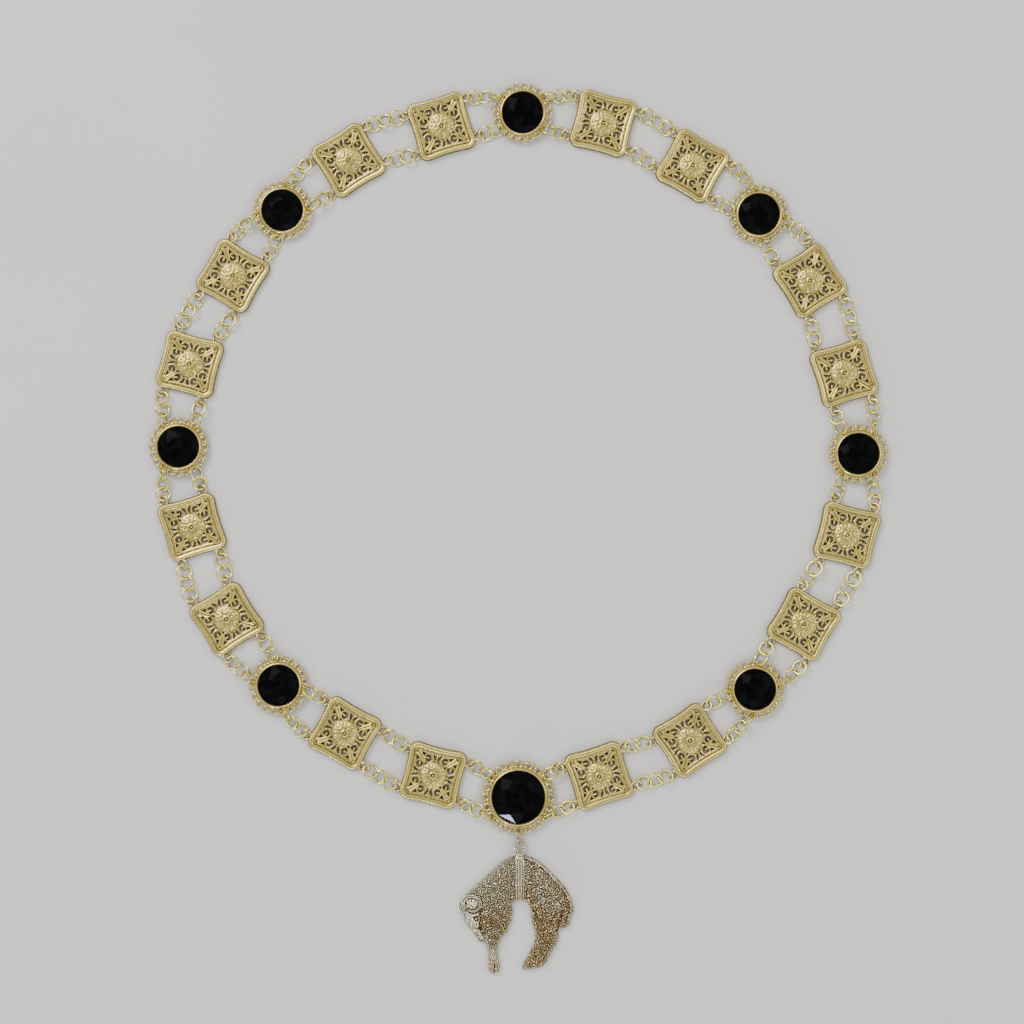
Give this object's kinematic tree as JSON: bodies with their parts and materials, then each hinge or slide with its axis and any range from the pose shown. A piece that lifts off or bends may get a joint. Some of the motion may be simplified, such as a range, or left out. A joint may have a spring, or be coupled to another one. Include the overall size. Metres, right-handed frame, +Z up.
{
  "type": "chain of office",
  "caption": "Collar chain of pierced square plates and round black stones in settings, joined by double strands of round links, with a ram's fleece hanging from the lowest stone.",
  "frame": {"origin": "middle of the footprint of the whole object's box, on the surface that it lies on", "axes": "+X to the right of the ring seen from the front, +Y to the top of the ring, away from the fleece, +Z up from the surface, out of the front"},
  "size_m": [0.3472, 0.4184, 0.0077],
  "materials": {
    "plate_gold": "antique pale gold, worn bright on the crests and dark in the piercing",
    "setting_gold": "pale gold, softly polished",
    "link_gold": "bright yellow gold, polished",
    "fleece_metal": "antique silvery gold with a dark patina between the curls",
    "black_glass": "black, faceted and glossy"
  },
  "bodies": {
    "root": {"plate_01": "plate_gold", "plate_02": "plate_gold", "plate_03": "plate_gold", "plate_04": "plate_gold", "plate_05": "plate_gold", "plate_06": "plate_gold", "plate_07": "plate_gold", "plate_08": "plate_gold", "plate_09": "plate_gold", "plate_10": "plate_gold", "plate_11": "plate_gold", "plate_12": "plate_gold", "plate_13": "plate_gold", "plate_14": "plate_gold", "plate_15": "plate_gold", "plate_16": "plate_gold", "setting_1": "setting_gold", "setting_2": "setting_gold", "setting_3": "setting_gold", "setting_4": "setting_gold", "setting_5": "setting_gold", "setting_6": "setting_gold", "setting_7": "setting_gold", "setting_8": "setting_gold", "stone_1": "black_glass", "stone_2": "black_glass", "stone_3": "black_glass", "stone_4": "black_glass", "stone_5": "black_glass", "stone_6": "black_glass", "stone_7": "black_glass", "stone_8": "black_glass", "outer_chain_1": "link_gold", "outer_chain_2": "link_gold", "outer_chain_3": "link_gold", "outer_chain_4": "link_gold", "outer_chain_5": "link_gold", "outer_chain_6": "link_gold", "outer_chain_7": "link_gold", "outer_chain_8": "link_gold", "inner_chain_1": "link_gold", "inner_chain_2": "link_gold", "inner_chain_3": "link_gold", "inner_chain_4": "link_gold", "inner_chain_5": "link_gold", "inner_chain_6": "link_gold", "inner_chain_7": "link_gold", "inner_chain_8": "link_gold", "pendant_ring": "link_gold", "fleece": "fleece_metal"}
  },
  "joints": []
}
